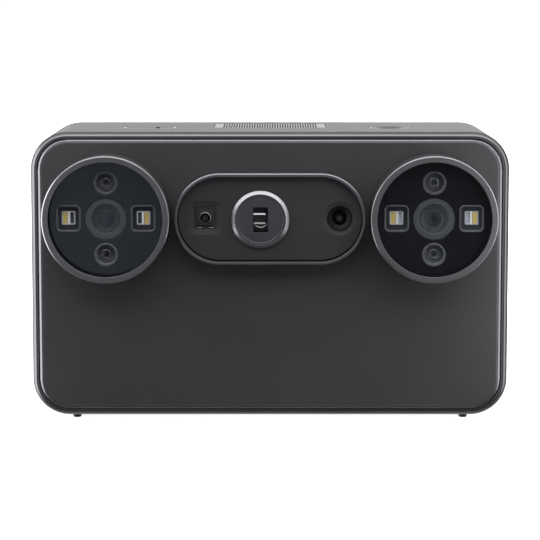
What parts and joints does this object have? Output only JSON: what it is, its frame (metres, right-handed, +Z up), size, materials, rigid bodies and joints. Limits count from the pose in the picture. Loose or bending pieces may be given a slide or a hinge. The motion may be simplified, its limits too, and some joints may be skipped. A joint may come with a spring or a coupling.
{
  "type": "handheld 3-d scanner",
  "caption": "Handheld optical scanner: rounded metal box with round camera pods and a flat-oval projector pod in front, push buttons and a cooling vent on top, tripod thread below.",
  "frame": {"origin": "under the middle of the object's bounding box, on the surface that the foot strips stand on", "axes": "+X to the right seen from the front, +Y to the rear, so the lenses look along -Y, +Z up"},
  "size_m": [0.12, 0.0576, 0.0731],
  "materials": {
    "shell_finish": "satin",
    "panel_finish": "satin",
    "ring_metal": "satin",
    "bright_metal": "polished",
    "grille_metal": "satin",
    "bare_aluminium": "satin",
    "lens_metal": "satin",
    "window_glass": "polished",
    "lens_glass": "polished",
    "mask_black": "matte",
    "black_plastic": "matte",
    "button_finish": "satin",
    "circuit_board": "satin",
    "chip_black": "matte",
    "led_white": "satin",
    "led_phosphor": "gloss",
    "led_dark": "gloss",
    "ribbon": "satin",
    "seal_rubber": "matte",
    "foot_rubber": "matte",
    "brass": "satin",
    "copper": "satin",
    "steel": "satin"
  },
  "bodies": {
    "casing": {"main_shell": "shell_finish", "front_panel": "panel_finish", "front_gasket": "seal_rubber", "rear_cover": "panel_finish", "rear_seal": "seal_rubber", "left_bezel_ring": "ring_metal", "right_bezel_ring": "ring_metal", "left_cover_glass": "window_glass", "right_cover_glass": "window_glass", "left_mask_plate": "mask_black", "right_mask_plate": "mask_black", "left_light_board": "circuit_board", "right_light_board": "circuit_board", "shell_brackets": "bare_aluminium", "clamp_sleeves": "black_plastic", "left_lens_barrel": "lens_metal", "right_lens_barrel": "lens_metal", "left_lens_glass": "lens_glass", "right_lens_glass": "lens_glass", "left_lens_holder": "black_plastic", "right_lens_holder": "black_plastic", "left_camera_board": "circuit_board", "right_camera_board": "circuit_board", "image_sensors": "chip_black", "white_led_frames": "led_white", "white_led_phosphors": "led_phosphor", "infrared_leds": "led_dark", "centre_trim": "ring_metal", "centre_plate": "panel_finish", "projector_bezel": "bright_metal", "projector_face": "lens_metal", "projector_lens": "lens_glass", "projector_body": "black_plastic", "colour_camera": "black_plastic", "colour_camera_lens": "lens_glass", "depth_camera": "black_plastic", "depth_camera_lens": "lens_glass", "centre_board": "circuit_board", "optical_bench": "bare_aluminium", "main_board": "circuit_board", "board_chips": "chip_black", "board_standoffs": "brass", "heat_sink": "bare_aluminium", "ribbon_cables": "ribbon", "fan_frame": "black_plastic", "fan_stator": "copper", "vent_grille": "grille_metal", "button_boards": "circuit_board", "button_switches": "chip_black", "usb_socket": "steel", "tripod_bush": "brass", "foot_strips": "foot_rubber", "screws": "steel"},
    "power_key": {"power_button": "button_finish", "power_light_pipe": "led_dark", "power_plunger": "black_plastic"},
    "scan_key": {"scan_button": "button_finish", "scan_plunger": "black_plastic"},
    "fan_wheel": {"fan_rotor": "black_plastic", "fan_axle": "steel"}
  },
  "joints": [
    {"name": "power_press", "type": "slide", "parent": "casing", "child": "power_key", "axis": [0, 0, -1], "range_m": [0, 0.0005], "stiffness_N_per_m": 3000},
    {"name": "scan_press", "type": "slide", "parent": "casing", "child": "scan_key", "axis": [0, 0, -1], "range_m": [0, 0.0007], "stiffness_N_per_m": 2500},
    {"name": "fan_spin", "type": "hinge", "parent": "casing", "child": "fan_wheel", "pos_m": [0, 0.0112, 0.0652], "axis": [0, 0, 1], "continuous": true}
  ]
}
